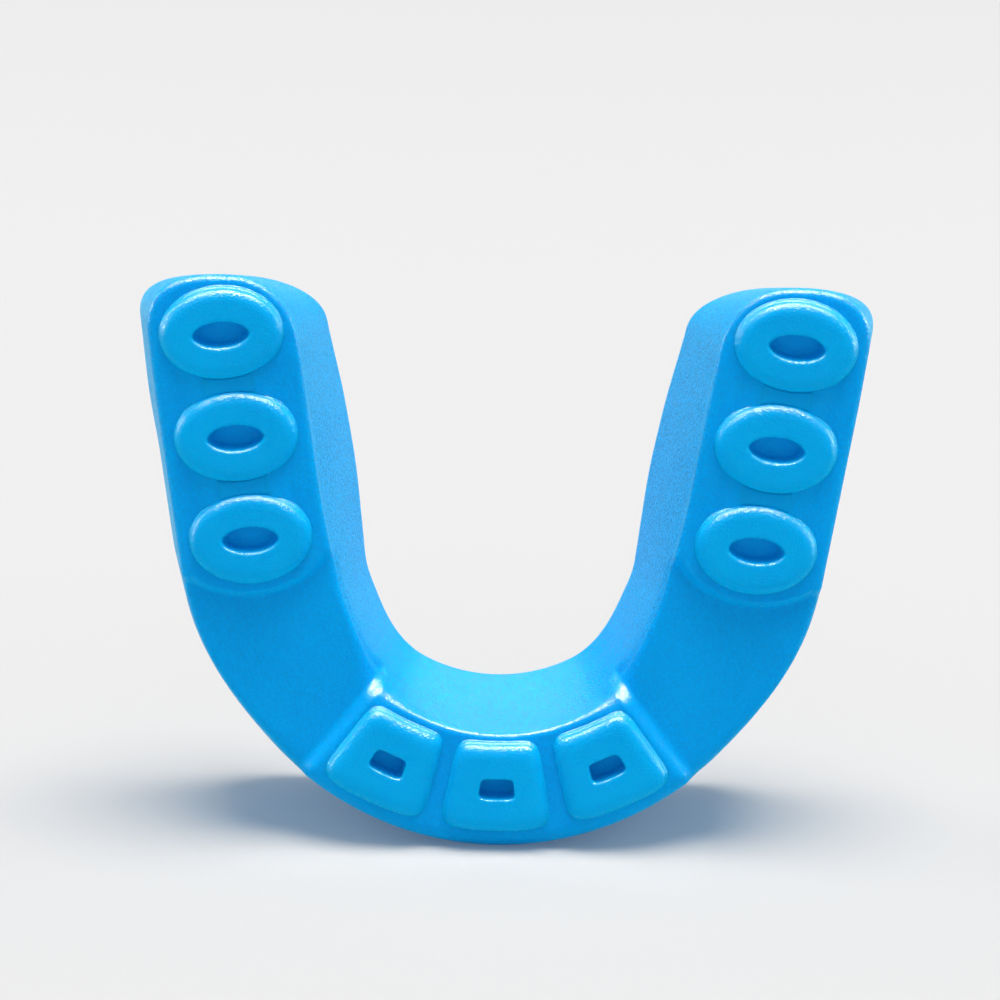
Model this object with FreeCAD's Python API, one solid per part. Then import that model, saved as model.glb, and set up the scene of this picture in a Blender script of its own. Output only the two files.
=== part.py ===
"""A boil-and-bite mouthguard, standing on the front of its arch with both legs up.

Frame, in millimetres: X across the arch, Y from the bite face back to the rims, Z up.
The origin is under the middle of the guard, at the height of the surface that it stands on.
Inside this script a depth is measured from the plain arch's bite face, and grows towards the rims.
"""
import FreeCAD, Part

import math
import os

# --- the arch's spine: an arc at the front and two straight legs that lean outwards -------------
ARCH_RADIUS = 20.2
FRONT_LIP_SIDE = 5.4
FRONT_TONGUE_SIDE = 5.0
ARCH_CENTRE_Z = ARCH_RADIUS + FRONT_LIP_SIDE
LEG_LEAN = math.radians(8.65)
ARC_LENGTH = ARCH_RADIUS * (math.pi / 2 - LEG_LEAN)
PAD_PITCH = 8.9
LAST_PAD = ARC_LENGTH + 22.8
CAP_LENGTH = 4.75
END_LEAN = 0.2
END_TILT = 0.15
FACE_END_POWER = 2.5
DEEP_END_POWER = 2.8
TONGUE_END_POWER = 2.4
TONGUE_END_DROP = 2.5
SQUARE_DEPTH = 6.0

# --- depths from the bite face ------------------------------------------------------------------
LAND_HEIGHT = 0.9
PAD_HEIGHT = 1.1
PLATE = 2.6
SHELL_WALL = 2.1
LINER_WALL = 1.2
LINER_FLOOR = 1.2
LINER_BELOW_RIM = 0.9
FRONT_RIM = 18.5
LEG_RIM = 14.5
PALATE_FRONT_RIM = 12.0
PALATE_LEG_RIM = 10.8
END_RIM = 9.5
DEEPEST = 20.0
EDGE_ROUND = 0.45
PAD_TOP = -LAND_HEIGHT - PAD_HEIGHT
MIDDLE_DEPTH = (FRONT_RIM + PAD_TOP) / 2

# --- bite pads ----------------------------------------------------------------------------------
MOLAR_LONG, MOLAR_SHORT = 5.15, 3.95
MOLAR_OUTWARD = 0.7
MOLAR_TURN = math.radians(3.0)
STEM_INSET = 0.9
STEM_DEPTH = 1.5
PAD_ROUND = 0.8
DIMPLE_DEPTH = 1.4
EYE_LENGTH, EYE_HEIGHT = 5.0, 2.6
RIB_WIDTH = 6.4
RIB_HEIGHT = 0.4
RIB_FOOT = 0.5
INCISOR_CENTRE_Z = ARCH_CENTRE_Z + 2.3
INCISOR_INNER, INCISOR_OUTER = 18.2, 26.1
INCISOR_HALF_ANGLE = math.radians(10.6)
INCISOR_STEP = math.radians(25.0)
INCISOR_CORNER = 1.4
SLOT_INNER, SLOT_OUTER = 2.9, 3.2
SLOT_LENGTH = 2.0
PLATFORM_HALF_ANGLE = math.radians(38.0)
LAND_LONG, LAND_SHORT = 6.8, 5.0

NOTCH_RADIUS = 3.6
NOTCH_DEPTH = 2.6
LOOP_SIDE = 26
LOOP_CAP = 9

os.makedirs("parts", exist_ok=True)
V = FreeCAD.Vector
TO_FRAME = V(0, -MIDDLE_DEPTH, 0)


def rise(start, end, x):
    """A smooth step from 0 at start to 1 at end."""
    t = min(1.0, max(0.0, (x - start) / (end - start)))
    return t * t * (3 - 2 * t)


def spine(s):
    """The spine's point, outward normal and tangent at a signed length s from the front middle."""
    side = -1.0 if s < 0 else 1.0
    turn = min(abs(s), ARC_LENGTH) / ARCH_RADIUS
    straight = max(0.0, abs(s) - ARC_LENGTH)
    x = ARCH_RADIUS * math.sin(turn) + straight * math.cos(turn)
    z = ARCH_CENTRE_Z - ARCH_RADIUS * math.cos(turn) + straight * math.sin(turn)
    normal = V(side * math.sin(turn), 0, -math.cos(turn))
    tangent = V(side * math.cos(turn), 0, math.sin(turn))
    return V(side * x, 0, z), normal, tangent


def outer_width(s):
    """Half width of the bite face on the cheek side of the spine."""
    return FRONT_LIP_SIDE + 1.6 * rise(17, 31, s) - 0.15 * rise(46, 56, s)


def inner_width(s):
    """Half width of the bite face on the tongue side of the spine."""
    return FRONT_TONGUE_SIDE + 1.25 * rise(10, 24, s) - 0.65 * rise(24, 38, s)


def outer_flare(s):
    """How far the cheek wall leans outwards for each millimetre of depth."""
    return 0.17 * rise(2, 16, s) - 0.05 * rise(16, 28, s) + 0.02 * rise(38, 46, s)


def inner_flare(s):
    """How far the palate wall leans inwards over the arch for each millimetre of depth."""
    return 0.19 + 0.1 * rise(24, 38, s) - 0.06 * rise(42, 54, s)


def outer_rim(s):
    """Depth of the cheek wall's rim."""
    return FRONT_RIM - (FRONT_RIM - LEG_RIM) * rise(4, 30, s) - (LEG_RIM - END_RIM) * rise(36, LAST_PAD, s)


def inner_rim(s):
    """Depth of the palate wall's rim."""
    front_drop, end_drop = PALATE_FRONT_RIM - PALATE_LEG_RIM, PALATE_LEG_RIM - END_RIM
    return PALATE_FRONT_RIM - front_drop * rise(4, 30, s) - end_drop * rise(36, LAST_PAD, s)


def loop(depth, inset):
    """Points round the whole guard at one depth, moved in by inset towards the spine."""
    points = []

    def side(sign, stations, width, flare):
        for s in stations:
            middle, normal, _ = spine(s)
            reach = width(abs(s)) + flare(abs(s)) * max(depth, 0.0) - inset
            points.append(middle + normal * (sign * reach) + V(0, depth, 0))

    def cap(leg, first):
        """The rounded end of one leg; first is 1 to start at the cheek side, -1 at the tongue side."""
        middle, normal, tangent = spine(leg * LAST_PAD)
        square = rise(0, SQUARE_DEPTH, depth)
        length = max(0.4, CAP_LENGTH - END_LEAN * max(depth, 0.0) - inset)
        for i in range(1, LOOP_CAP):
            angle = math.pi * i / LOOP_CAP
            deep_power = DEEP_END_POWER if first * math.cos(angle) > 0 else TONGUE_END_POWER
            power = FACE_END_POWER + (deep_power - FACE_END_POWER) * square
            across = first * math.copysign(abs(math.cos(angle)) ** (2 / power), math.cos(angle))
            along = math.sin(angle) ** (2 / power)
            width, flare = (outer_width, outer_flare) if across > 0 else (inner_width, inner_flare)
            reach = width(LAST_PAD) + flare(LAST_PAD) * max(depth, 0.0) - inset
            drop = TONGUE_END_DROP * (1 - along) if across < 0 else 0.0
            beyond = along * (length + END_TILT * across * reach) - drop
            points.append(middle + normal * (across * reach) + tangent * beyond + V(0, depth, 0))

    steps = [LAST_PAD * (2 * i / LOOP_SIDE - 1) for i in range(LOOP_SIDE + 1)]
    side(1, steps, outer_width, outer_flare)
    cap(1, 1)
    shorter = 1 - TONGUE_END_DROP / LAST_PAD
    side(-1, [s * shorter for s in reversed(steps)], inner_width, inner_flare)
    cap(-1, -1)
    return points


def wire(points):
    curve = Part.BSplineCurve()
    curve.interpolate(Points=points, PeriodicFlag=True)
    return Part.Wire(curve.toShape())


def tray(levels):
    """A solid through loops, each given as (depth, inset)."""
    return Part.makeLoft([wire(loop(*level)) for level in levels], True, True)


def slab(outline, start, end):
    """A flat closed outline in the XZ plane, made a solid from one depth to another."""
    face = Part.Face(outline)
    face.translate(V(0, start, 0))
    return face.extrude(V(0, end - start, 0))


def ellipse_outline(centre, long_axis, long_radius, short_radius):
    curve = Part.Ellipse(centre, long_radius, short_radius)
    flat = Part.Wire(curve.toShape())
    flat.rotate(centre, V(1, 0, 0), 90)
    flat.rotate(centre, V(0, 1, 0), -math.degrees(math.atan2(long_axis.z, long_axis.x)))
    return flat


def sector_outline(middle_angle, half_angle, inner, outer):
    """A piece of a ring about the incisor pads' centre, with arcs inside and outside."""
    def at(radius, angle):
        return V(radius * math.sin(angle), 0, INCISOR_CENTRE_Z - radius * math.cos(angle))

    low, high = middle_angle - half_angle, middle_angle + half_angle
    outside = Part.Arc(at(outer, low), at(outer, middle_angle), at(outer, high)).toShape()
    inside = Part.Arc(at(inner, high), at(inner, middle_angle), at(inner, low)).toShape()
    right = Part.makeLine(at(outer, high), at(inner, high))
    left = Part.makeLine(at(inner, low), at(outer, low))
    return Part.Wire([outside, right, inside, left])


def edges_along_depth(solid):
    """The straight edges that run from front to back."""
    found = []
    for edge in solid.Edges:
        direction = edge.Vertexes[-1].Point - edge.Vertexes[0].Point
        if direction.Length > 0 and abs(direction.y) > 0.999 * direction.Length:
            found.append(edge)
    return found


def edges_at_depth(solid, depth):
    box_test = [(e, e.BoundBox) for e in solid.Edges]
    return [e for e, box in box_test if abs(box.YMin - depth) < 1e-4 and abs(box.YMax - depth) < 1e-4]


def molar_place(leg, number):
    """The centre of a molar pad and the direction of its long axis; number 0 is nearest the front."""
    middle, normal, tangent = spine(leg * (LAST_PAD - (2 - number) * PAD_PITCH))
    long_axis = normal * math.cos(MOLAR_TURN) + tangent * math.sin(MOLAR_TURN)
    return middle + normal * MOLAR_OUTWARD, long_axis


def eye_outline(centre, long_axis):
    """A lens of two equal arcs."""
    across = V(-long_axis.z, 0, long_axis.x)
    left, right = centre - long_axis * (EYE_LENGTH / 2), centre + long_axis * (EYE_LENGTH / 2)
    top, bottom = centre + across * (EYE_HEIGHT / 2), centre - across * (EYE_HEIGHT / 2)
    return Part.Wire([Part.Arc(left, top, right).toShape(), Part.Arc(right, bottom, left).toShape()])


def slot_outline(angle):
    """The small trapezium in the middle of an incisor pad, wider towards the lips."""
    radius = (INCISOR_INNER + INCISOR_OUTER) / 2 - 0.15
    out = V(math.sin(angle), 0, -math.cos(angle))
    across = V(math.cos(angle), 0, math.sin(angle))
    centre = V(0, 0, INCISOR_CENTRE_Z) + out * radius
    half = SLOT_LENGTH / 2
    inner, outer = centre - out * half, centre + out * half
    corners = [inner - across * (SLOT_INNER / 2), inner + across * (SLOT_INNER / 2),
               outer + across * (SLOT_OUTER / 2), outer - across * (SLOT_OUTER / 2)]
    return Part.makePolygon(corners + corners[:1])


def molar_pad(leg, number):
    centre, long_axis = molar_place(leg, number)
    body = slab(ellipse_outline(centre, long_axis, MOLAR_LONG, MOLAR_SHORT), PAD_TOP, -LAND_HEIGHT)
    body = body.makeFillet(PAD_ROUND, edges_at_depth(body, PAD_TOP))
    dimple = slab(eye_outline(centre, long_axis), PAD_TOP - 1, PAD_TOP + DIMPLE_DEPTH)
    return body.fuse(molar_stem(leg, number)).removeSplitter().cut(dimple)


def molar_stem(leg, number):
    """The root by which a molar pad is anchored in the shell."""
    centre, long_axis = molar_place(leg, number)
    outline = ellipse_outline(centre, long_axis, MOLAR_LONG - STEM_INSET, MOLAR_SHORT - STEM_INSET)
    return slab(outline, -LAND_HEIGHT, STEM_DEPTH - LAND_HEIGHT)


def incisor_pad(angle):
    outline = sector_outline(angle, INCISOR_HALF_ANGLE, INCISOR_INNER, INCISOR_OUTER)
    body = slab(outline, PAD_TOP, -LAND_HEIGHT)
    body = body.makeFillet(INCISOR_CORNER, edges_along_depth(body))
    body = body.makeFillet(PAD_ROUND, edges_at_depth(body, PAD_TOP))
    dimple = slab(slot_outline(angle), PAD_TOP - 1, PAD_TOP + DIMPLE_DEPTH)
    return body.fuse(incisor_stem(angle)).removeSplitter().cut(dimple)


def incisor_stem(angle):
    """The root by which an incisor pad is anchored in the shell."""
    inset_angle = STEM_INSET / INCISOR_OUTER
    outline = sector_outline(angle, INCISOR_HALF_ANGLE - inset_angle,
                             INCISOR_INNER + STEM_INSET, INCISOR_OUTER - STEM_INSET)
    return slab(outline, -LAND_HEIGHT, STEM_DEPTH - LAND_HEIGHT)


def rib_bar(leg):
    """A bar under the whole row of molar pads, from the middle of the first to the middle of the last."""
    first, _ = molar_place(leg, 0)
    last, _ = molar_place(leg, 2)
    along = (last - first).normalize()
    across = V(along.z, 0, -along.x) * (RIB_WIDTH / 2)
    corners = [first - across, first + across, last + across, last - across]
    return slab(Part.makePolygon(corners + corners[:1]), -LAND_HEIGHT - RIB_HEIGHT, RIB_FOOT - LAND_HEIGHT)


def land_region(leg):
    """Where the raised land lies on one leg: an oval round the first molar pad, and all beyond it."""
    centre, long_axis = molar_place(leg, 0)
    _, normal, tangent = spine(leg * LAST_PAD)
    start, end = -LAND_HEIGHT - 1, 1.0
    oval = slab(ellipse_outline(centre, long_axis, LAND_LONG, LAND_SHORT), start, end)
    far = centre + tangent * (LAST_PAD - ARC_LENGTH + CAP_LENGTH)
    across = normal * LAND_LONG
    corners = [centre - across, centre + across, far + across, far - across]
    return oval.fuse(slab(Part.makePolygon(corners + corners[:1]), start, end))


def rim_tool(depth_at, drop):
    """Everything deeper than a rim: one profile over height, swept across the guard."""
    far, steps = 40.0, 24
    points = []
    for i in range(steps + 1):
        s = LAST_PAD * i / steps
        points.append(V(-far, depth_at(s) - drop, spine(s)[0].z))
    curve = Part.BSplineCurve()
    curve.interpolate(points)
    start, end = points[0], points[-1]
    corners = [end, end + V(0, 0, 10), V(-far, DEEPEST + 2, end.z + 10), V(-far, DEEPEST + 2, -5),
               V(-far, start.y, -5), start]
    lines = [Part.makeLine(a, b) for a, b in zip(corners, corners[1:])]
    return Part.Face(Part.Wire([curve.toShape()] + lines)).extrude(V(2 * far, 0, 0))


def palate_side():
    """The space on the tongue side of the spine, between the legs."""
    steps = 30
    points = [spine(LAST_PAD * (2 * i / steps - 1))[0] for i in range(steps + 1)]
    high = 20.0
    points += [points[-1] + V(0, 0, high), points[0] + V(0, 0, high)]
    return slab(Part.makePolygon(points + points[:1]), PLATE, DEEPEST + 1)


def shape_rims(solid, drop):
    """Cuts the cheek wall and the lower palate wall to their own rims."""
    notch = Part.makeCylinder(NOTCH_RADIUS, 12, V(0, FRONT_RIM + NOTCH_RADIUS - NOTCH_DEPTH - drop, -2))
    inner = rim_tool(inner_rim, drop).common(palate_side())
    return solid.cut(rim_tool(outer_rim, drop)).cut(inner).cut(notch)


def outer_shell(stems, ribs):
    face = -LAND_HEIGHT
    body = tray([(face, EDGE_ROUND), (face + 0.3 * EDGE_ROUND, 0.3 * EDGE_ROUND),
                 (face + EDGE_ROUND, 0.0), (SQUARE_DEPTH, 0.0), (DEEPEST, 0.0)])
    platform = slab(sector_outline(0, PLATFORM_HALF_ANGLE, 8.0, 34.0), -2 * LAND_HEIGHT, 1.0)
    everywhere = Part.makeBox(80, 2 * LAND_HEIGHT, 70, V(-40, -2 * LAND_HEIGHT, -10))
    lowered = everywhere.cut(platform.fuse([land_region(-1), land_region(1)]))
    trough = tray([(PLATE, SHELL_WALL), (SQUARE_DEPTH, SHELL_WALL), (DEEPEST + 1, SHELL_WALL)])
    body = shape_rims(body.cut(lowered).cut(trough), 0.0)
    return body.cut(Part.makeCompound(stems + ribs))


def fitting_liner():
    body = tray([(PLATE, SHELL_WALL), (SQUARE_DEPTH, SHELL_WALL), (DEEPEST, SHELL_WALL)])
    inset = SHELL_WALL + LINER_WALL
    hollow = tray([(PLATE + LINER_FLOOR, inset), (SQUARE_DEPTH, inset), (DEEPEST + 1, inset)])
    return shape_rims(body.cut(hollow), LINER_BELOW_RIM)


def volume_of(shape):
    """Volume inside a fine triangle mesh of the shape; it is steady on long lofted walls."""
    points, triangles = shape.tessellate(0.05)
    return sum(points[a].dot(points[b].cross(points[c])) for a, b, c in triangles) / 6


def save(name, solid):
    solid.translate(TO_FRAME)
    whole = solid if solid.ShapeType == "Solid" else Part.makeCompound(solid.Solids)
    box = whole.optimalBoundingBox()
    state = f"{len(whole.Solids)} solid(s) valid {whole.isValid()} volume {volume_of(whole):8.1f}"
    ranges = [box.XMin, box.XMax, box.YMin, box.YMax, box.ZMin, box.ZMax]
    print(f"{name:22s} {state} box", *(f"{value:6.2f}" for value in ranges))
    whole.exportStep(f"parts/{name}.step")


LEGS = {"left": -1, "right": 1}
MOLARS = ["premolar", "first_molar", "second_molar"]
INCISORS = {"left_incisor_pad": -INCISOR_STEP, "centre_incisor_pad": 0.0, "right_incisor_pad": INCISOR_STEP}

pads, stems, ribs = {}, [], []
for leg_name, leg in LEGS.items():
    room_for_pads = []
    for number, tooth in enumerate(MOLARS):
        pads[f"{leg_name}_{tooth}_pad"] = molar_pad(leg, number)
        stems.append(molar_stem(leg, number))
        oval = ellipse_outline(*molar_place(leg, number), MOLAR_LONG, MOLAR_SHORT)
        room_for_pads.append(slab(oval, PAD_TOP, PLATE))
    rib = rib_bar(leg).cut(room_for_pads)
    ribs.append(rib)
    save(f"{leg_name}_rib_bridges", rib.copy())
for name, angle in INCISORS.items():
    pads[name] = incisor_pad(angle)
    stems.append(incisor_stem(angle))

save("outer_shell", outer_shell(stems, ribs))
save("fitting_liner", fitting_liner())
for name, pad in pads.items():
    save(name, pad)
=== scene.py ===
# %% [markdown]
# # A boil-and-bite mouthguard
# The guard is one soft blue tray for the upper teeth. It stands on the front of its arch with both
# legs up, so that its bite face, with nine raised pads, looks at the camera.
# Every size below is in millimetres, because that is how such a small thing is drawn. A mesh is
# turned to metres, Blender's unit here, only when it is made.

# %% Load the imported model
import math
import bmesh
import bpy
import numpy as np
from mathutils import Matrix, Vector


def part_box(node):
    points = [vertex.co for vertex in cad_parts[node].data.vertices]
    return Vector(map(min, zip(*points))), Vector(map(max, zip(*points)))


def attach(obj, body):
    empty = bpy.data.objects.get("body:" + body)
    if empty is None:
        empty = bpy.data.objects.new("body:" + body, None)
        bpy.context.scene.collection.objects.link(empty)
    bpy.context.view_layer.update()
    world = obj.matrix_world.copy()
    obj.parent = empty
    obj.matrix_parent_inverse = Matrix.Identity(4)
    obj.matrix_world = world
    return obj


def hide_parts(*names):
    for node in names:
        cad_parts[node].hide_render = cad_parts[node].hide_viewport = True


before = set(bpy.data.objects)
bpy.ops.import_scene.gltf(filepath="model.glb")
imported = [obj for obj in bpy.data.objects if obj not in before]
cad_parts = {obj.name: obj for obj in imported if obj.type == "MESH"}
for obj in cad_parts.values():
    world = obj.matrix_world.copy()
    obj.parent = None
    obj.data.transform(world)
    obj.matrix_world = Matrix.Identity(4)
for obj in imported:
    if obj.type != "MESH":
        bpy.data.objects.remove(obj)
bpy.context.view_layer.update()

MM = 0.001
PAD_PROUD = 2.0


def node_box(name):
    """A CAD node's lowest and highest corner, in millimetres."""
    low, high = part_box(name)
    return np.array(low) / MM, np.array(high) / MM


BITE_Y = node_box("centre_incisor_pad")[0][1] + PAD_PROUD
print("plain bite face at y =", round(BITE_Y, 2), "mm, and the pads stand", PAD_PROUD, "mm proud of it")

# %% [markdown]
# ## The camera
# A product lens of about 150 mm looks down at the guard by 14 degrees from a third of a metre. The
# long lens keeps the two legs nearly the same size. The camera leans a little to one side, so the
# guard seems to stand slightly turned, as it would after being set down by hand.

# %% The camera
VIEW_DISTANCE = 350.0
VIEW_ELEVATION = math.radians(14.0)
VIEW_YAW = math.radians(1.3)
VIEW_ROLL = math.radians(1.6)
AIM = Vector((-0.38, BITE_Y, 30.9))
LENS, SENSOR_WIDTH = 148.7, 36.0

level_right = Vector((math.cos(VIEW_YAW), -math.sin(VIEW_YAW), 0))
level_back = Vector((-math.sin(VIEW_YAW), -math.cos(VIEW_YAW), 0))
back = level_back * math.cos(VIEW_ELEVATION) + Vector((0, 0, math.sin(VIEW_ELEVATION)))
level_up = back.cross(level_right)
right = level_right * math.cos(VIEW_ROLL) + level_up * math.sin(VIEW_ROLL)
up = level_up * math.cos(VIEW_ROLL) - level_right * math.sin(VIEW_ROLL)
camera_data = bpy.data.cameras.new("camera")
camera_data.lens = LENS
camera_data.sensor_width = SENSOR_WIDTH
camera_data.clip_start = 10 * MM
camera = bpy.data.objects.new("camera", camera_data)
place = Matrix((right, up, back)).transposed().to_4x4()
place.translation = (AIM + back * VIEW_DISTANCE) * MM
camera.matrix_world = place
bpy.context.scene.collection.objects.link(camera)
bpy.context.scene.camera = camera
print("camera at", [round(v, 3) for v in camera.location])

# %% [markdown]
# ## Writing node maths as Python
# Both Geometry Nodes and shaders do sums with Math nodes, which are slow to read as boxes and wires.
# A small class wraps an output socket, so that an ordinary expression adds the nodes for it.

# %% A socket that does sums
class Wire:
    """One output socket of a node. Adding, multiplying and so on make Math nodes."""

    def __init__(self, tree, socket):
        self.tree = tree
        self.socket = socket

    def sum(self, operation, *values):
        return node(self.tree, "ShaderNodeMath", {"operation": operation}, dict(enumerate(values)))

    def __add__(self, other):
        return self.sum("ADD", self, other)

    def __sub__(self, other):
        return self.sum("SUBTRACT", self, other)

    def __rsub__(self, other):
        return self.sum("SUBTRACT", other, self)

    def __mul__(self, other):
        return self.sum("MULTIPLY", self, other)

    def __truediv__(self, other):
        return self.sum("DIVIDE", self, other)

    def __pow__(self, other):
        return self.sum("POWER", self, other)

    __radd__ = __add__
    __rmul__ = __mul__


def node(tree, kind, settings=None, inputs=None, output=0):
    """Adds one node. Settings come first, then the values or wires of its sockets."""
    made = tree.nodes.new(kind)
    for name, value in (settings or {}).items():
        setattr(made, name, value)
    for name, value in (inputs or {}).items():
        if isinstance(value, Wire):
            tree.links.new(value.socket, made.inputs[name])
        else:
            made.inputs[name].default_value = value
    return Wire(tree, made.outputs[output]) if len(made.outputs) else made


print("an expression on a Wire adds its own Math nodes")

# %% [markdown]
# ## The soft plastic
# Real guards are moulded in ethylene-vinyl acetate, a soft, slightly milky plastic. Light goes a
# millimetre or two into it, so its edges glow and its shadows stay blue. The mould has a fine spark
# grain, which breaks every highlight into tiny points. Both come from one Principled shader: light
# scattering under the surface, and a bump of very small noise. The same small noise also tints the
# colour, as painted shade and glints of the grain.

# %% The blue plastic
CLOUD_SIZE, WORN_SIZE = 9.0, 2.5
BUMP_HEIGHT = 0.12
DARKEST, LIGHTEST = 0.76, 1.21


def plastic(name, colour, roughness, least_grain, most_grain, grain_size):
    """A milky moulded plastic. The mesh's own "grain" value says where the mould was left rough."""
    material = bpy.data.materials.new(name)
    material.use_nodes = True
    tree = material.node_tree
    tree.nodes.clear()
    where = node(tree, "ShaderNodeTexCoord", output=3)
    rough_mould = node(tree, "ShaderNodeAttribute", {"attribute_name": "grain"}, output=2)
    grain = rough_mould * (most_grain - least_grain) + least_grain
    clouds, speck, worn = (
        node(tree, "ShaderNodeTexNoise", {}, {"Vector": where, "Scale": 1 / (size * MM), "Detail": fine})
        for size, fine in ((CLOUD_SIZE, 3.0), (grain_size, 2.0), (WORN_SIZE, 4.0)))
    deep = tuple(DARKEST * c for c in colour) + (1.0,)
    light = tuple(min(1.0, LIGHTEST * c) for c in colour) + (1.0,)
    # The fine speck also tints the colour: the grain's low points are painted darker and its high points
    # lighter, painted shade and glints of the grain. The larger clouds are the plastic's own uneven
    # tone.
    painted_grain_shade_and_tone = (speck - 0.5) * (rough_mould * 5.0 + 0.4) + (clouds - 0.5) * 0.4 + 0.5
    tint = node(tree, "ShaderNodeMix", {"data_type": "RGBA"}, {0: painted_grain_shade_and_tone, 6: deep, 7: light}, output=2)
    gloss = (worn - 0.5) * 0.12 - (speck - 0.5) * 0.35 + grain * 0.12 + roughness
    bump = node(tree, "ShaderNodeBump", {},
                {"Strength": 1.0, "Distance": BUMP_HEIGHT * MM, "Height": speck * grain})
    surface = node(tree, "ShaderNodeBsdfPrincipled", {"subsurface_method": "RANDOM_WALK"}, {
        "Base Color": tint, "Roughness": gloss, "Normal": bump, "IOR": 1.48, "Specular IOR Level": 0.045,
        "Subsurface Weight": 0.45, "Subsurface Radius": (0.25, 0.75, 1.0), "Subsurface Scale": 0.8 * MM,
        "Sheen Weight": 0.3, "Sheen Roughness": 0.35, "Sheen Tint": (0.04, 0.85, 1.0, 1.0)})
    node(tree, "ShaderNodeOutputMaterial", {}, {"Surface": surface})
    return material


SHELL_PLASTIC = plastic("shell_plastic", (0.0, 0.40, 0.95), 0.20, 0.14, 1.1, 0.21)
PAD_PLASTIC = plastic("pad_plastic", (0.0, 0.46, 1.0), 0.18, 0.60, 0.60, 0.19)
LINER_PLASTIC = plastic("liner_plastic", (0.01, 0.45, 0.95), 0.26, 0.15, 0.15, 0.30)
print("materials:", [m.name for m in bpy.data.materials])

# %% [markdown]
# ## The arch as a rule
# The whole guard follows one line: an arc at the front and two straight legs that lean outwards.
# The cheek side and the tongue side each have a width and a flare along it. The same rule gives the
# bite face, both walls, the rims and the soft liner, so they always fit each other.

# %% The arch's line and widths
ARCH_RADIUS = 20.2
LIP_SIDE, TONGUE_SIDE = 5.4, 5.0
ARCH_Z = ARCH_RADIUS + LIP_SIDE
LEG_LEAN = math.radians(8.65)
ARC_LENGTH = ARCH_RADIUS * (math.pi / 2 - LEG_LEAN)
LAST_PAD = ARC_LENGTH + 22.8


def rise(start, end, x):
    """0 before start, 1 after end, and a smooth slope between."""
    t = np.clip((x - start) / (end - start), 0.0, 1.0)
    return t * t * (3 - 2 * t)


def spine(s):
    """Point, outward normal and tangent of the arch's line in (x, z), at signed length s."""
    side = np.where(s < 0, -1.0, 1.0)
    turn = np.minimum(np.abs(s), ARC_LENGTH) / ARCH_RADIUS
    straight = np.maximum(np.abs(s) - ARC_LENGTH, 0.0)
    sin, cos = np.sin(turn), np.cos(turn)
    point = np.stack([side * (ARCH_RADIUS * sin + straight * cos),
                      ARCH_Z - ARCH_RADIUS * cos + straight * sin], -1)
    return point, np.stack([side * sin, -cos], -1), np.stack([side * cos, sin], -1)


def cheek_width(s):
    """Half width of the bite face on the cheek side."""
    return LIP_SIDE + 1.6 * rise(17, 31, s) - 0.15 * rise(46, 56, s)


def tongue_width(s):
    """Half width of the bite face on the tongue side."""
    return TONGUE_SIDE + 1.25 * rise(10, 24, s) - 0.65 * rise(24, 38, s)


def cheek_flare(s):
    """How far the cheek wall leans out for each millimetre of depth."""
    return 0.17 * rise(2, 16, s) - 0.05 * rise(16, 28, s) + 0.02 * rise(38, 46, s)


def tongue_flare(s):
    """How far the tongue wall leans over the palate for each millimetre of depth."""
    return 0.19 + 0.1 * rise(24, 38, s) - 0.06 * rise(42, 54, s)


print("arch line is", round(2 * LAST_PAD, 1), "mm long between the last pads")

# %% [markdown]
# ## Columns round the outline
# A tray's outline is walked once round: along the cheek side, over one leg's end, back along the
# tongue side and over the other end. Each stop on that walk is a column of the mesh. Columns stand
# closer together where the raised parts begin, because a fillet needs several of them.

# %% The columns
FINE, COARSE = 0.16, 0.34
END_STEPS = 56
END_LENGTH, END_LEAN, END_TILT = 4.75, 0.2, 0.15
TONGUE_DROP = 2.5
FACE_POWER, CHEEK_POWER, TONGUE_POWER = 2.5, 2.8, 2.4
SQUARE_DEPTH = 6.0
SHORTEST_END = 0.4


def stations():
    """Lengths along the arch, closer together at the platform's sides and the lands' rounded starts."""
    found, s = [0.0], 0.0
    while s < LAST_PAD:
        busy = 10.5 < s < 18.5 or LAST_PAD - 25.0 < s < LAST_PAD - 16.0
        s = min(LAST_PAD, s + (FINE if busy else COARSE))
        found.append(s)
    half = np.array(found)
    return np.concatenate([-half[:0:-1], half])


SIDE = stations()
END_ANGLE = np.linspace(0, math.pi, END_STEPS + 2)[1:-1]
TONGUE_SIDE_S = SIDE[::-1] * (1 - TONGUE_DROP / LAST_PAD)
COLUMN_S = np.concatenate(
    [SIDE, np.full(END_STEPS, LAST_PAD), TONGUE_SIDE_S, np.full(END_STEPS, -LAST_PAD)])
COLUMN_ANGLE = np.concatenate(
    [np.zeros(len(SIDE)), END_ANGLE, np.full(len(SIDE), math.pi), END_ANGLE[::-1]])
ON_END = (COLUMN_ANGLE > 0) & (COLUMN_ANGLE < math.pi)
SPINE_POINT, SPINE_NORMAL, SPINE_TANGENT = spine(COLUMN_S)
CHEEK = np.cos(COLUMN_ANGLE) >= 0
ALONG = np.minimum(np.abs(COLUMN_S), np.where(CHEEK, LAST_PAD, LAST_PAD - TONGUE_DROP))


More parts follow.
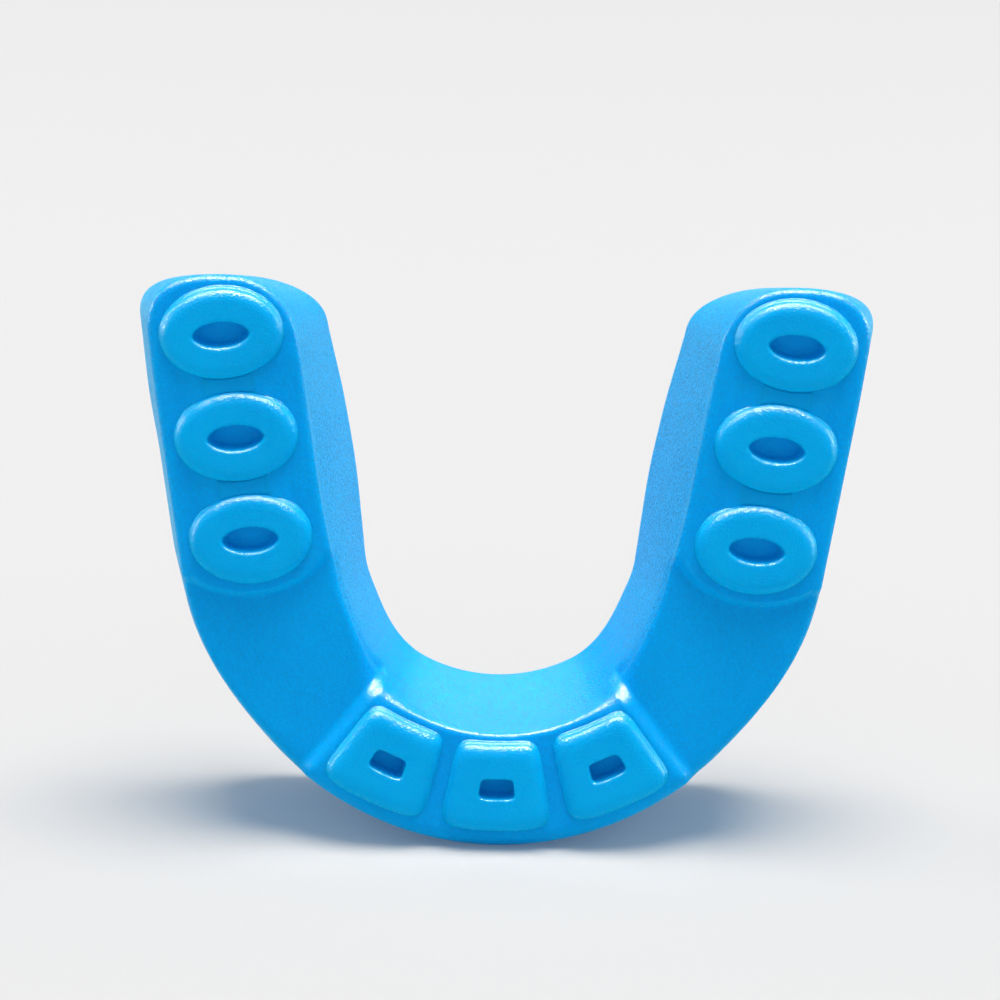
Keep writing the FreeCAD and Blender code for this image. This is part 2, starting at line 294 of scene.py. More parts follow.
def outline(depth, inset):
    """Points (x, z) of the outline at each column's own depth, moved in towards the arch's line."""
    depth = np.broadcast_to(depth, COLUMN_S.shape)
    deep = np.maximum(depth, 0.0)
    reach = np.where(CHEEK, cheek_width(ALONG) + cheek_flare(ALONG) * deep,
                     tongue_width(ALONG) + tongue_flare(ALONG) * deep) - inset
    deep_power = np.where(CHEEK, CHEEK_POWER, TONGUE_POWER)
    power = FACE_POWER + (deep_power - FACE_POWER) * rise(0.0, SQUARE_DEPTH, depth)
    cos, sin = np.cos(COLUMN_ANGLE), np.sin(COLUMN_ANGLE)
    size = (np.abs(cos) ** power + sin ** power) ** (-1 / power)
    across = np.where(ON_END, cos * size, np.sign(cos))
    length = np.maximum(SHORTEST_END, END_LENGTH - END_LEAN * deep - inset) + END_TILT * across * reach
    drop = np.where(across < 0, TONGUE_DROP * (1 - sin * size), 0.0)
    beyond = np.where(ON_END, sin * size * length - drop, 0.0)
    return SPINE_POINT + SPINE_NORMAL * (across * reach)[:, None] + SPINE_TANGENT * beyond[:, None]


print(len(COLUMN_S), "columns")

# %% [markdown]
# ## The bite face and its raised parts
# The face is flat, with two kinds of raised part: a platform at the front, cut off by two straight
# sides, and a land on each leg that starts in a round nose below the first molar pad. A height rule
# gives both. Its step is spread over about a millimetre, which is the fillet that a mould needs.

# %% Height of the bite face
LAND = 0.9
FAN_Z = ARCH_Z + 2.3
PLATFORM_ANGLE = math.radians(38.0)
LAND_LONG, LAND_SHORT = 6.8, 5.0
MOLAR_LONG, MOLAR_SHORT = 5.15, 3.95
MOLAR_TURN = math.radians(3.0)
MOLARS = ("premolar", "first_molar", "second_molar")
INCISORS = {"left_incisor_pad": -25.0, "centre_incisor_pad": 0.0, "right_incisor_pad": 25.0}
FAN_RADIUS = 22.15
POCKET, POCKET_INSET, FRONT_POCKET_HALF, POCKET_FILLET = 1.6, 1.2, 2.4, 0.6
PLATFORM_FILLET = 1.45
LAND_FILLET, LAND_SPREAD, LAND_START = 0.75, 0.1, 8.0
WEB, WEB_HALF, WEB_FILLET, PAD_PITCH = 0.42, 3.2, 2.0, 8.9
OUTSIDE = -9.0


def pad_centre(name):
    """Middle of a pad's box, in (x, z)."""
    low, high = node_box(name)
    return np.array([(low[0] + high[0]) / 2, (low[2] + high[2]) / 2])


def local(x, z, centre, turn):
    """Coordinates across and up, about a centre, in axes turned anticlockwise."""
    dx, dz = x - centre[0], z - centre[1]
    return dx * math.cos(turn) + dz * math.sin(turn), dz * math.cos(turn) - dx * math.sin(turn)


def step(distance, width):
    """0 outside, 1 inside, with a fillet of the given width across the boundary."""
    return rise(-0.5 * width, 0.5 * width, distance)


def nose(x, z, leg, name):
    """How far inside the land's outline a point is: an oval below the first pad, and all above it."""
    u, v = local(x, z, pad_centre(name), -leg * LEG_LEAN)
    below = 1 - np.sqrt((u / LAND_LONG) ** 2 + (np.minimum(v, 0.0) / LAND_SHORT) ** 2)
    on_leg = (x * leg > 0) & (z > pad_centre(name)[1] - LAND_START)
    inside = np.where(v < 0, below, np.maximum(below, v / 6.0))
    return np.where(on_leg, inside * LAND_SHORT, OUTSIDE)


def face_depth(x, z):
    """Depth of the bite face: 0 on the plain arch, negative where raised, positive under a pad."""
    fan, angle = np.hypot(x, FAN_Z - z), np.arctan2(np.abs(x), FAN_Z - z)
    raised = step((PLATFORM_ANGLE - angle) * fan, PLATFORM_FILLET)
    pocket, web = np.zeros_like(x), np.zeros_like(x)
    for leg, side in ((-1, "left"), (1, "right")):
        land = nose(x, z, leg, side + "_premolar_pad") + LAND_SPREAD
        raised = np.maximum(raised, step(land, LAND_FILLET))
        u, v = local(x, z, pad_centre(side + "_first_molar_pad"), -leg * LEG_LEAN)
        web = np.maximum(web, step(WEB_HALF - np.abs(u), WEB_FILLET) * (np.abs(v) < PAD_PITCH))
        for tooth in MOLARS:
            u, v = local(x, z, pad_centre(f"{side}_{tooth}_pad"), -leg * (LEG_LEAN - MOLAR_TURN))
            inside = 1 - np.hypot(u / (MOLAR_LONG - POCKET_INSET), v / (MOLAR_SHORT - POCKET_INSET))
            pocket = np.maximum(pocket, step(inside * MOLAR_SHORT, POCKET_FILLET))
    for turn in INCISORS.values():
        sideways = (np.arctan2(x, FAN_Z - z) - math.radians(turn)) * fan
        off_centre = np.maximum(np.abs(sideways), np.abs(fan - FAN_RADIUS))
        pocket = np.maximum(pocket, step(FRONT_POCKET_HALF - off_centre, POCKET_FILLET))
    return -LAND * raised - WEB * web + POCKET * pocket


print("platform sides at", round(math.degrees(PLATFORM_ANGLE)), "degrees")

# %% [markdown]
# ## The rims
# The walls of a real guard are tall at the lips and lower at the cheeks and the ends, so that they
# stop short of the gums there. The rim is a rule of height along the arch, and a small dip at the
# middle makes room for the cord of gum behind the lip. A rule keeps shell and liner rims parallel.

# %% Rims of the two walls
FRONT_RIM, LEG_RIM, END_RIM = 18.5, 14.5, 9.5
TONGUE_FRONT_RIM, TONGUE_LEG_RIM = 12.0, 10.8
NOTCH_DEPTH, NOTCH_WIDTH = 2.6, 2.6
RIM_S = np.linspace(0, LAST_PAD, 80)
RIM_HEIGHT = spine(RIM_S)[0][:, 1]
TO_LEG, TO_END = rise(4, 30, RIM_S), rise(36, LAST_PAD, RIM_S)
CHEEK_RIM = FRONT_RIM - (FRONT_RIM - LEG_RIM) * TO_LEG - (LEG_RIM - END_RIM) * TO_END
TONGUE_RIM = (TONGUE_FRONT_RIM - (TONGUE_FRONT_RIM - TONGUE_LEG_RIM) * TO_LEG
              - (TONGUE_LEG_RIM - END_RIM) * TO_END)


def rim_depth(points):
    """Depth of the rim at each column. The front has a notch for the lip's frenum."""
    notch = NOTCH_DEPTH * np.exp(-(points[:, 0] / NOTCH_WIDTH) ** 2) * (points[:, 1] < ARCH_Z)
    cheek = np.interp(points[:, 1], RIM_HEIGHT, CHEEK_RIM) - notch
    tongue = np.interp(points[:, 1], RIM_HEIGHT, TONGUE_RIM)
    return np.where(CHEEK, cheek, tongue)


print("walls are", FRONT_RIM, "mm deep at the lips and", END_RIM, "mm at the ends")

# %% [markdown]
# ## From rows of points to a mesh
# A tray is easiest to build as a stack of rings: each ring has one point for each column, and each
# pair of rings is joined by quads. The first and last ring are folded onto the arch's line, so that
# merging their doubles closes the skin. A closed skin is what a printer or a bake needs.

# %% Mesh helpers
def stack(rows):
    """Vertices and quads from rows of points, each row closed into a ring."""
    count = len(COLUMN_S)
    vertices = np.concatenate(rows)
    faces = []
    this = np.arange(count)
    following = (this + 1) % count
    for r in range(len(rows) - 1):
        a, b = r * count, (r + 1) * count
        faces.append(np.stack([a + this, a + following, b + following, b + this], -1))
    return vertices, np.concatenate(faces)


def row(points, depth):
    """Points (x, z) and their depth below the bite face, as (x, y, z) in the row frame."""
    depth = np.broadcast_to(depth, len(points))
    return np.stack([points[:, 0], depth + BITE_Y, points[:, 1]], -1)


SEAM, SLIVER = 0.002, 0.0005


def link_piece(name, mesh):
    """Puts a finished mesh in the scene, and prints how many of its edges lack two faces."""
    made = bpy.data.objects.new(name, mesh)
    bpy.context.scene.collection.objects.link(made)
    edges = np.zeros(len(mesh.loops), int)
    mesh.loops.foreach_get("edge_index", edges)
    uses = np.bincount(edges, minlength=len(mesh.edges))
    print(f"{name}: {len(mesh.polygons)} faces, {np.count_nonzero(uses != 2)} open edges")
    return made


def make_object(name, vertices, faces, material, grain=0.0):
    """A smooth mesh object in metres, with doubles merged and its normals pointing outwards."""
    mesh = bpy.data.meshes.new(name)
    mesh.from_pydata((vertices * MM).tolist(), [], faces.tolist())
    values = np.broadcast_to(grain, len(vertices)).astype(np.float32)
    mesh.attributes.new("grain", "FLOAT", "POINT").data.foreach_set("value", values)
    shape = bmesh.new()
    shape.from_mesh(mesh)
    bmesh.ops.remove_doubles(shape, verts=shape.verts, dist=SEAM * MM)
    bmesh.ops.dissolve_degenerate(shape, edges=shape.edges, dist=SLIVER * MM)
    bmesh.ops.recalc_face_normals(shape, faces=shape.faces)
    for face in shape.faces:
        face.smooth = True
    shape.to_mesh(mesh)
    shape.free()
    mesh.materials.append(material)
    return link_piece(name, mesh)


def settle(piece, cad_node):
    """Puts the piece on the one body and hides the CAD node whose place it takes."""
    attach(piece, "root")
    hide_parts(cad_node)


print("two neighbouring rings share", len(COLUMN_S), "quads")

# %% [markdown]
# ## The shell
# The outer shell is the firm layer that takes the blow. A factory injects it into a steel mould, so
# every edge has a radius and the walls lean outwards to leave the mould. It could be an extruded
# curve with a Bevel, but rings give each edge its own radius: a large one at the lips, and a small
# one at the tongue that grows where the platform's corner stands out.

# %% The shell
CHEEK_ROUND, LIP_ROUND, TONGUE_ROUND, CORNER_ROUND = 0.8, 0.8, 0.6, 1.5
CORNER_S, CORNER_SPREAD = 15.3, 3.0
TONGUE_EDGE = TONGUE_ROUND + CORNER_ROUND * np.exp(-((ALONG - CORNER_S) / CORNER_SPREAD) ** 2)
CHEEK_EDGE = CHEEK_ROUND + LIP_ROUND * (1 - rise(10, 24, ALONG))
EDGE_ROUND = TONGUE_EDGE + (CHEEK_EDGE - TONGUE_EDGE) * (1 + np.cos(COLUMN_ANGLE)) / 2
WALL = 2.1
PLATE = 2.6
FACE_ROWS, ROUND_ROWS, WALL_ROWS, RIM_ROWS = 56, 8, 16, 9
FACE_GRAIN, FRONT_GRAIN = 0.12, 0.45
MID_WALL = 10.0


def shell_rows():
    """From the middle of the bite face out to its edge, down the wall, round the rim and back inside."""
    rows, coarse = [], []
    edge = outline(0.0, EDGE_ROUND)
    for t in np.linspace(0.0, 1.0, FACE_ROWS):
        points = SPINE_POINT + (edge - SPINE_POINT) * t
        rows.append(row(points, face_depth(points[:, 0], points[:, 1])))
        coarse.append(np.full(len(points), FACE_GRAIN))
    top = face_depth(edge[:, 0], edge[:, 1])
    for a in np.linspace(0, math.pi / 2, ROUND_ROWS + 1)[1:]:
        inset = EDGE_ROUND * (1 - math.sin(a))
        rows.append(row(outline(0.0, inset), top + EDGE_ROUND * (1 - math.cos(a))))
    start = top + EDGE_ROUND
    rim = rim_depth(outline(MID_WALL, 0.0))
    half = WALL / 2
    for t in np.linspace(0, 1, WALL_ROWS + 1)[1:]:
        depth = start + (rim - half - start) * t
        rows.append(row(outline(depth, 0.0), depth))
    for a in np.linspace(0, math.pi, RIM_ROWS + 1)[1:]:
        depth = rim - half + half * math.sin(a)
        rows.append(row(outline(depth, half * (1 - math.cos(a))), depth))
    for t in (0.3, 0.7, 1.0):
        depth = (rim - half) * (1 - t) + PLATE * t
        rows.append(row(outline(depth, WALL), depth))
    floor = outline(PLATE, WALL)
    for t in (0.5, 0.0):
        rows.append(row(SPINE_POINT + (floor - SPINE_POINT) * t, PLATE))
    wall_grain = FRONT_GRAIN + (1 - FRONT_GRAIN) * rise(12, 24, ALONG)
    while len(coarse) < len(rows):
        share_of_wall = min(1.0, (len(coarse) - FACE_ROWS) / ROUND_ROWS)
        coarse.append(FACE_GRAIN + (wall_grain - FACE_GRAIN) * share_of_wall)
    return rows, np.concatenate(coarse)


shell_points, shell_grain = shell_rows()
shell = make_object("shell", *stack(shell_points), SHELL_PLASTIC, shell_grain)
settle(shell, "outer_shell")

# %% [markdown]
# ## The fitting liner
# Inside the trough sits the layer that softens in hot water and takes the shape of the teeth. It is
# a second, thinner tray that fills the first one's inside, and its rim stops a little lower.

# %% The liner
LINER = 1.2
LINER_DROP = 0.9
LINER_FILLET = 1.0
GAP = 0.02


def liner_rows():
    """From the middle of the trough's floor up its wall, round the rim and back between the trays."""
    rows = []
    rim = rim_depth(outline(MID_WALL, 0.0)) - LINER_DROP
    half = (LINER - GAP) / 2
    inner = WALL + LINER
    floor = outline(PLATE + LINER, inner + LINER_FILLET)
    for t in np.linspace(0, 1, 8):
        rows.append(row(SPINE_POINT + (floor - SPINE_POINT) * t, PLATE + LINER))
    for a in np.linspace(0, math.pi / 2, 7)[1:]:
        depth = PLATE + LINER + LINER_FILLET * (1 - math.cos(a))
        rows.append(row(outline(depth, inner + LINER_FILLET * (1 - math.sin(a))), depth))
    start = PLATE + LINER + LINER_FILLET
    for t in np.linspace(0, 1, 9)[1:]:
        depth = start + (rim - half - start) * t
        rows.append(row(outline(depth, inner), depth))
    for a in np.linspace(0, math.pi, 8)[1:]:
        depth = rim - half + half * math.sin(a)
        rows.append(row(outline(depth, inner - half * (1 - math.cos(a))), depth))
    for t in (0.5, 1.0):
        depth = (rim - half) * (1 - t) + (PLATE + GAP) * t
        rows.append(row(outline(depth, WALL + GAP), depth))
    rows.append(row(SPINE_POINT, PLATE + GAP))
    return rows


liner = make_object("liner", *stack(liner_rows()), LINER_PLASTIC)
settle(liner, "fitting_liner")

# %% [markdown]
# ## The bite pads
# Nine pads repeat one idea: a low raised shape with a rounded rim and a small recess in its middle.
# The six molar pads are ovals with an eye-shaped recess, and the three front pads are keystones with
# a small slot. One Geometry Nodes tree makes them all. It bends a grid: one direction runs round the
# outline, the other climbs the side, crosses the top, and goes down into the recess.

# %% What both trees share
def share(value, start):
    """0 before start, 1 after start + 1, straight between."""
    return node(value.tree, "ShaderNodeClamp", {}, {0: value - start, 1: 0.0, 2: 1.0})


def shaped(value, exponent):
    """A cosine or sine given an exponent but keeping its sign, which squares or points a circle."""
    return value.sum("SIGN", value) * value.sum("ABSOLUTE", value) ** exponent


def start_tree(name, inputs, columns, rows, bands):
    """A tree with named sizes and a grid. Gives the tree, its sizes, the grid, a turn and a climb."""
    tree = bpy.data.node_groups.new(name, "GeometryNodeTree")
    for label, value in inputs.items():
        socket = tree.interface.new_socket(label, in_out="INPUT", socket_type="NodeSocketFloat")
        socket.default_value = value
    tree.interface.new_socket("Plastic", in_out="INPUT", socket_type="NodeSocketMaterial")
    tree.interface.new_socket("Geometry", in_out="OUTPUT", socket_type="NodeSocketGeometry")
    entry = tree.nodes.new("NodeGroupInput")
    size = {socket.name: Wire(tree, socket) for socket in entry.outputs}
    grid = node(tree, "GeometryNodeMeshGrid", {}, {
        "Size X": 1.0, "Size Y": 1.0, "Vertices X": columns + 1, "Vertices Y": rows + 1})
    axes = node(tree, "ShaderNodeSeparateXYZ", {}, {0: node(tree, "GeometryNodeInputPosition")})
    turn = (axes + 0.5) * (2 * math.pi)
    climb = (Wire(tree, axes.socket.node.outputs[1]) + 0.5) * float(bands)
    return tree, size, grid, turn, climb


def end_tree(tree, size, grid, across, up_leg, depth):
    """Turns and moves the bent grid to its place, merges its seams, and gives it its plastic."""
    cos_turn, sin_turn = size["Turn"].sum("COSINE", size["Turn"]), size["Turn"].sum("SINE", size["Turn"])
    x = across * cos_turn - up_leg * sin_turn + size["Centre X"]
    z = across * sin_turn + up_leg * cos_turn + size["Centre Z"]
    place = node(tree, "ShaderNodeCombineXYZ", {}, {0: x * MM, 1: (depth + BITE_Y) * MM, 2: z * MM})
    shape = node(tree, "GeometryNodeSetPosition", {}, {"Geometry": grid, "Position": place})
    shape = node(tree, "GeometryNodeMergeByDistance", {}, {"Geometry": shape, "Distance": SEAM * MM})
    shape = node(tree, "GeometryNodeSetShadeSmooth", {}, {"Geometry": shape, "Shade Smooth": True})
    shape = node(tree, "GeometryNodeRealizeInstances", {}, {"Geometry": shape})
    shape = node(tree, "GeometryNodeSetMaterial", {}, {"Geometry": shape, "Material": size["Plastic"]})
    node(tree, "NodeGroupOutput", {}, {"Geometry": shape})
    return tree


print("points closer than", SEAM, "mm are merged")

# %% [markdown]
# ## The shape of a pad
# The climb is cut in nine bands, one for each part of the section: the hidden base, the side in its
# socket, a small foot fillet, the side, the rounded rim, the flat top, the recess's lip, its wall and
# its floor. Each band's share runs from 0 to 1 while the climb passes it, so the section is a plain
# sum of shares times sizes. The trig of a quarter turn makes a share round.

# %% The pad tree
PAD_ROUND_STEPS = 160
PAD_BANDS = 9
PAD_RISE_STEPS = PAD_BANDS * 8
QUARTER = math.pi / 2
PAD_INPUTS = {
    "Half Width": MOLAR_LONG, "Half Height": MOLAR_SHORT, "Corner": 1.0, "Fan Radius": 1000.0,
    "Recess Half Width": 2.35, "Recess Half Height": 1.1, "Recess Side": 0.95, "Recess Top": 1.15,
    "Recess Flare": 0.0, "Recess Depth": 1.7, "Recess Floor": 0.8, "Base": 0.4, "Land": -0.80,
    "Top": -PAD_PROUD, "Foot": 0.35, "Draft": 0.10, "Rim Width": 1.05, "Rim Height": 0.75,
    "Lip": 0.32, "Centre X": 0.0, "Centre Z": 0.0, "Turn": 0.0,
}


def build_pad_tree():
    """Bends a grid into a pad: round the outline one way, up the section the other."""
    tree, size, grid, turn, climb = start_tree(
        "bite_pad", PAD_INPUTS, PAD_ROUND_STEPS, PAD_RISE_STEPS, PAD_BANDS)
    cos, sin = turn.sum("COSINE", turn), turn.sum("SINE", turn)
    spread, rise_up, foot, side = (share(climb, start) for start in range(4))
    rim, across, lip, sink, floor = (share(climb, start) for start in range(4, 9))
    foot, rim, lip, bowl = foot * QUARTER, rim * QUARTER, lip * QUARTER, sink * QUARTER

    grown = size["Foot"] * (1 - foot.sum("SINE", foot))
    shrunk = size["Draft"] * side + size["Rim Width"] * (1 - rim.sum("COSINE", rim))
    out_x = shaped(cos, size["Corner"]) * (size["Half Width"] + grown - shrunk) * spread
    out_z = shaped(sin, size["Corner"]) * (size["Half Height"] + grown - shrunk) * spread

    lip_width = size["Lip"] * (1 - lip.sum("SINE", lip))
    shrink = (1 - (1 - size["Recess Floor"]) * (1 - bowl.sum("COSINE", bowl))) * (1 - floor)
    in_z = shaped(sin, size["Recess Top"]) * (size["Recess Half Height"] + lip_width) * shrink
    recess_width = size["Recess Half Width"] + lip_width - in_z * size["Recess Flare"]
    in_x = shaped(cos, size["Recess Side"]) * recess_width * shrink
    flat_x = out_x * (1 - across) + in_x * across
    flat_z = out_z * (1 - across) + in_z * across

    climb_base = (size["Base"] - size["Land"]) * rise_up
    climb_foot = size["Foot"] * (1 - foot.sum("COSINE", foot))
    climb_side = (size["Land"] - size["Foot"] - size["Rim Height"] - size["Top"]) * side
    climb_rim = size["Rim Height"] * rim.sum("SINE", rim)
    drop_lip = size["Lip"] * (1 - lip.sum("COSINE", lip))
    drop_wall = (size["Recess Depth"] - size["Lip"]) * bowl.sum("SINE", bowl)
    climbed = climb_base + climb_foot + climb_side + climb_rim
    depth = size["Base"] - climbed + drop_lip + drop_wall

    bend = flat_x / size["Fan Radius"]
    ray = size["Fan Radius"] - flat_z
    fan_x = ray * bend.sum("SINE", bend)
    fan_z = size["Fan Radius"] - ray * bend.sum("COSINE", bend)
    return end_tree(tree, size, grid, fan_x, fan_z, depth)


PAD_TREE = build_pad_tree()
print("pad tree:", len(PAD_TREE.nodes), "nodes")

# %% [markdown]
# ## Running a tree
# A modifier on an empty mesh runs the tree. Its result is copied to a plain mesh with faces pointing
# outwards, and the modifier goes, because the later export wants meshes rather than live trees.

# %% From a tree to a plain mesh
def grow(name, tree, sizes, material):
    """Runs a Geometry Nodes tree with these sizes and keeps its result as a plain mesh object."""
    seed = bpy.data.objects.new(name + "_seed", bpy.data.meshes.new(name + "_seed"))
    bpy.context.scene.collection.objects.link(seed)
    modifier = seed.modifiers.new("tree", "NODES")
    modifier.node_group = tree
    for item in tree.interface.items_tree:
        if item.name == "Plastic":
            modifier[item.identifier] = material
        elif item.in_out == "INPUT":
            modifier[item.identifier] = float(sizes.get(item.name, item.default_value))
    evaluated = seed.evaluated_get(bpy.context.evaluated_depsgraph_get())
    mesh = bpy.data.meshes.new_from_object(evaluated)
    seed.modifiers.remove(modifier)
    bpy.data.objects.remove(seed)
    shape = bmesh.new()
    shape.from_mesh(mesh)
    bmesh.ops.recalc_face_normals(shape, faces=shape.faces)
    shape.to_mesh(mesh)
    shape.free()
    mesh.name = name
    return link_piece(name, mesh)


print("a pad is a grid of", PAD_ROUND_STEPS, "by", PAD_RISE_STEPS, "quads")

# %% [markdown]
# ## The molar pads
# Three oval cushions on each leg meet the chewing faces of the lower back teeth. The tree's own sizes
# are theirs, so each needs only its place, and a turn that follows its leg's lean.

# %% The molar pads
for leg, side in ((-1, "left"), (1, "right")):
    for tooth in MOLARS:
        name = f"{side}_{tooth}_pad"
        centre = pad_centre(name)
        pad = grow(name.replace("_pad", "_bite_pad"), PAD_TREE, {
            "Centre X": centre[0], "Centre Z": centre[1], "Turn": -leg * (LEG_LEAN - MOLAR_TURN),
        }, PAD_PLASTIC)
        settle(pad, name)

# %% [markdown]
# ## The front pads
# The keystones are the same ring, with squarer corners and a bend: their sides point at one centre
# above the arch, as slices of a pie do. Only the sizes change, so the tree is used again.

# %% The front pads
FRONT_PAD = {
    "Half Width": 4.1, "Half Height": 3.95, "Corner": 0.32, "Fan Radius": FAN_RADIUS, "Rim Width": 1.25,
    "Recess Half Width": 1.48, "Recess Half Height": 0.92, "Recess Side": 0.42, "Recess Top": 0.42,
    "Recess Flare": 0.08, "Lip": 0.2, "Recess Floor": 0.88, "Recess Depth": 2.0,
}
for name, angle in INCISORS.items():
    turn = math.radians(angle)
    pad = grow(name.replace("_pad", "_bite_pad"), PAD_TREE, {
        **FRONT_PAD, "Turn": turn, "Centre X": FAN_RADIUS * math.sin(turn),
        "Centre Z": FAN_Z - FAN_RADIUS * math.cos(turn),
    }, PAD_PLASTIC)
    settle(pad, name)

# %% [markdown]
# ## The ribs between the molar pads
# Neighbouring pads are joined by a low web. A second tree makes a soft bar whose ends are hollowed to
# fit round the ovals that it touches.

# %% The rib tree
RIB_ROUND_STEPS, RIB_RISE_STEPS, RIB_BANDS = 64, 24, 3
RIB_SQUARE = 0.7
PAD_OVERLAP = 0.98
RIB_INPUTS = {
    "Half Width": 2.4, "Top": -1.40, "Base": -1.0, "Pitch": PAD_PITCH, "Pad Long": MOLAR_LONG,
    "Pad Short": MOLAR_SHORT, "Centre X": 0.0, "Centre Z": 0.0, "Turn": 0.0,
}


def build_rib_tree():
    """Bends a grid into a low bar that runs from one oval pad to the next."""
    tree, size, grid, turn, climb = start_tree(
        "rib_bridge", RIB_INPUTS, RIB_ROUND_STEPS, RIB_RISE_STEPS, RIB_BANDS)
    cos, sin = turn.sum("COSINE", turn), turn.sum("SINE", turn)
    closing = share(climb, 0) * (1 - share(climb, 2))
    across = shaped(cos, RIB_SQUARE) * size["Half Width"] * closing
    middle = (size["Top"] + size["Base"]) * 0.5
    depth = middle - sin * (size["Base"] - middle) * closing
    hollow = (1 - (across / size["Pad Long"]) ** 2) ** 0.5 * size["Pad Short"] * PAD_OVERLAP
    up_leg = hollow + (size["Pitch"] - 2 * hollow) * share(climb, 1) - size["Pitch"] * 0.5
    return end_tree(tree, size, grid, across, up_leg, depth)


RIB_TREE = build_rib_tree()
print("rib tree:", len(RIB_TREE.nodes), "nodes")

# %% [markdown]
# ## The ribs in place
# Each rib sits half way between two pads, and its length is the distance between them.

# %% The ribs
for leg, side in ((-1, "left"), (1, "right")):
    centres = [pad_centre(f"{side}_{tooth}_pad") for tooth in MOLARS]
    for number, (low, high) in enumerate(zip(centres, centres[1:])):
        middle = (low + high) / 2
        rib = grow(f"{side}_rib_{number + 1}", RIB_TREE, {
            "Centre X": middle[0], "Centre Z": middle[1], "Turn": -leg * LEG_LEAN,
            "Pitch": np.hypot(*(high - low)),
        }, SHELL_PLASTIC)
        settle(rib, f"{side}_rib_bridges")

# %% [markdown]
# ## The table
# The set is a plain white table. A faint, even bluish glow is painted into its surface as fill light,
# which keeps the shadow pale and a little blue; the table is no lamp. Near the guard its paint is a
# little darker and less blue, painted shade against the blue light there. A plain plane is all that it
# needs.

# %% The table's paint
# Near the guard the paint is a little darker and less blue: painted shade that offsets the blue light
# falling there.
NEAR_SHADED_PAINT, FAR_PAINT = (0.538, 0.500, 0.452, 1.0), (0.556, 0.516, 0.475, 1.0)
SPOT_PAINT, SPOT_SHARE = (0.55, 0.55, 0.55, 1.0), 0.04
# A faint bluish glow in the table's own surface: painted fill light that keeps the shadow pale and a
# little blue.
PAINTED_FILL_GLOW = (0.060, 0.095, 0.135, 1.0)
NEAR_RADIUS = 0.11
floor_material = bpy.data.materials.new("white_table")
floor_material.use_nodes = True
floor_tree = floor_material.node_tree
floor_tree.nodes.clear()
where = node(floor_tree, "ShaderNodeTexCoord", output=3)
spot = node(floor_tree, "ShaderNodeTexNoise", {}, {"Vector": where, "Scale": 30.0})
radius = node(floor_tree, "ShaderNodeVectorMath", {"operation": "LENGTH"}, {0: where}, output=1)
# Within the near radius the paint blends towards the darker, less blue near paint: painted shade near
# the guard.
plain = node(floor_tree, "ShaderNodeMix", {"data_type": "RGBA"},
             {0: radius / NEAR_RADIUS, 6: NEAR_SHADED_PAINT, 7: FAR_PAINT}, output=2)
paint = node(floor_tree, "ShaderNodeMix", {"data_type": "RGBA"},
             {0: spot * SPOT_SHARE, 6: plain, 7: SPOT_PAINT}, output=2)
# The table's emission is painted fill light; the table is no lamp.
table = node(floor_tree, "ShaderNodeBsdfPrincipled", {},
             {"Base Color": paint, "Roughness": 0.9, "Specular IOR Level": 0.0,
              "Emission Color": PAINTED_FILL_GLOW, "Emission Strength": 1.0})
node(floor_tree, "ShaderNodeOutputMaterial", {}, {"Surface": table})
print("table paint:", len(floor_tree.nodes), "nodes")

# %% The table
FLOOR_HALF = 3.0
floor_mesh = bpy.data.meshes.new("floor")
corners = [(x * FLOOR_HALF, y * FLOOR_HALF, 0) for x, y in ((-1, -1), (1, -1), (1, 1), (-1, 1))]
floor_mesh.from_pydata(corners, [], [(0, 1, 2, 3)])
floor_mesh.materials.append(floor_material)
floor = bpy.data.objects.new("floor", floor_mesh)
bpy.context.scene.collection.objects.link(floor)
print("the table is", 2 * FLOOR_HALF, "m wide")

# %% [markdown]
# ## The lights
# A wide sun stands for the softbox overhead. Two panels lift the sides. The cards are seen only in
# reflections: they draw the bright points on the rounded edges and add nothing to the shadows. The
# room's own light is a little blue, but the backdrop that is seen behind the table is white.

# %% Kinds of light
TARGET = (0, 0, 0.03)


def facing(direction):
    """A turn that points a lamp along a direction."""
    return direction.to_track_quat("-Z", "Y").to_matrix().to_4x4()


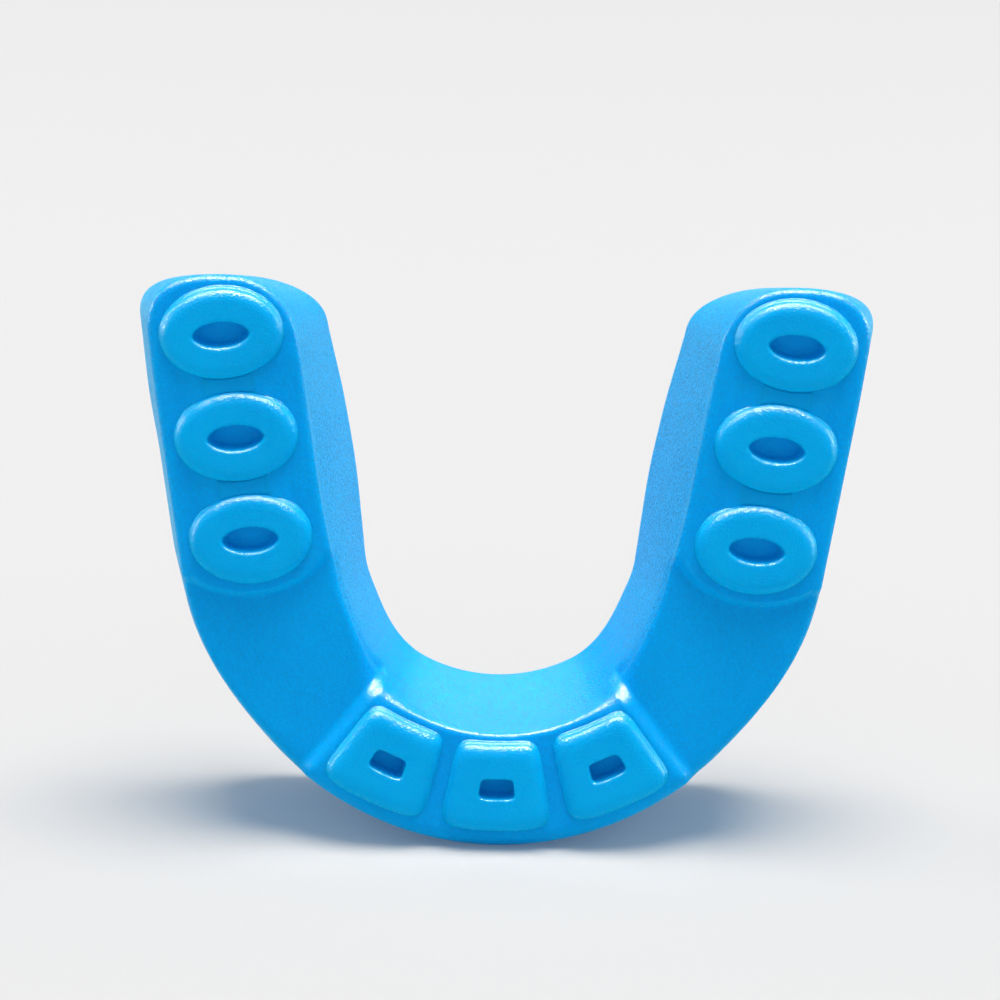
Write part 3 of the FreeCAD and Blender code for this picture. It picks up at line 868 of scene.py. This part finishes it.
def softbox(name, position, size, power):
    """A rectangular area light that faces the guard; lengths in metres, power in watts."""
    lamp = bpy.data.lights.new(name, "AREA")
    lamp.shape = "RECTANGLE"
    lamp.size, lamp.size_y = size
    lamp.energy = power
    made = bpy.data.objects.new(name, lamp)
    made.matrix_world = Matrix.Translation(position) @ facing(Vector(TARGET) - Vector(position))
    bpy.context.scene.collection.objects.link(made)
    return made


def reflector(name, position, size, power):
    """A bright card that is seen only in reflections, and adds no light of its own to the set."""
    made = softbox(name, position, size, power)
    made.visible_diffuse = False
    made.visible_transmission = False


print("lamps face", TARGET)

# %% The lights
for side, sign in (("left", -1), ("right", 1)):
    softbox(side + "_panel", (sign * 0.7, 0.15, 0.35), (0.5, 0.6), 1.2)
    reflector(side + "_card", (sign * 0.55, 0.10, 0.14), (0.20, 0.20), 13.0)
reflector("overhead_card", (0.0, -0.14, 0.62), (0.80, 0.30), 225.0)
reflector("rear_card", (0.0, 0.60, 0.45), (0.90, 0.30), 5.0)

key = bpy.data.lights.new("overhead", "SUN")
key.energy = 3.1
key.angle = math.radians(38.0)
key.color = (1.0, 0.975, 0.93)
key_object = bpy.data.objects.new("overhead", key)
key_object.matrix_world = facing(Vector((-0.07, 0.16, -1.0)))
bpy.context.scene.collection.objects.link(key_object)
print("lights:", [lamp.name for lamp in bpy.data.lights])

# %% The room
ROOM_LIGHT = (0.36, 0.414, 0.504, 1.0)
BACKDROP = (0.86, 0.86, 0.86, 1.0)
world = bpy.data.worlds.new("studio")
world.use_nodes = True
world_tree = world.node_tree
world_tree.nodes.clear()
room = node(world_tree, "ShaderNodeBackground", {}, {"Color": ROOM_LIGHT})
backdrop = node(world_tree, "ShaderNodeBackground", {}, {"Color": BACKDROP})
seen = node(world_tree, "ShaderNodeLightPath")
sky = node(world_tree, "ShaderNodeMixShader", {}, {0: seen, 1: room, 2: backdrop})
node(world_tree, "ShaderNodeOutputWorld", {}, {"Surface": sky})
scene = bpy.context.scene
scene.world = world
scene.view_settings.view_transform = "Standard"
scene.view_settings.exposure = 0.0
print("room light:", ROOM_LIGHT[:3])
